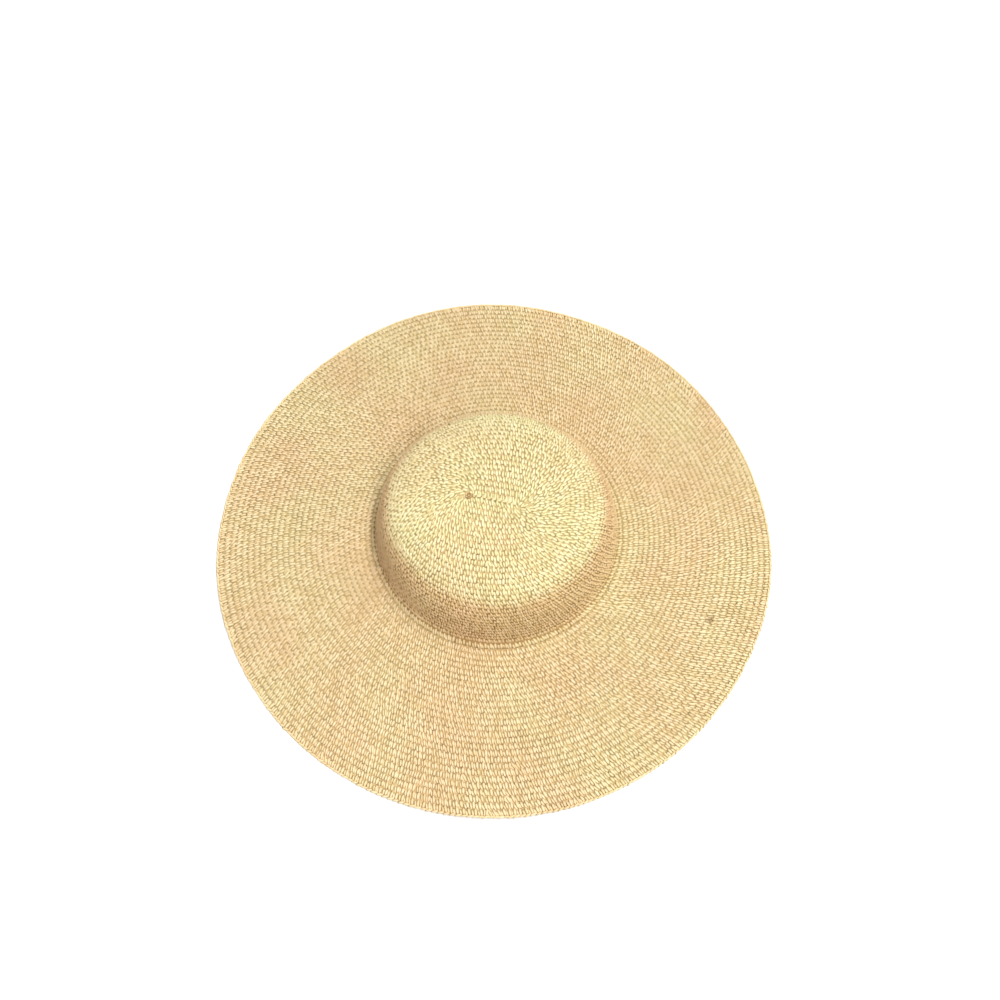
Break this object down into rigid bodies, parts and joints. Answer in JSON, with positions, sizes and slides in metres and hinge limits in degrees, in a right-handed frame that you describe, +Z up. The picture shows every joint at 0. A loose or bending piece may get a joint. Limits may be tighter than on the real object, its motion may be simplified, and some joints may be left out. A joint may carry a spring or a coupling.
{
  "type": "floppy straw hat",
  "caption": "Wide-brimmed floppy straw sun hat with a low rounded crown, worked in rounds from one straw strand; lies flat on its rim.",
  "frame": {"origin": "on the surface the hat lies on, in the middle of the rim", "axes": "+Z up through the crown, +X along the rim's longer half, -Y towards the viewer of the picture"},
  "size_m": [0.451, 0.4388, 0.0793],
  "materials": {
    "crown_straw": "natural crocheted straw strand, soft sheen",
    "brim_straw": "natural crocheted straw strand, soft sheen"
  },
  "bodies": {
    "root": {"crown": "crown_straw", "brim": "brim_straw"}
  },
  "joints": []
}
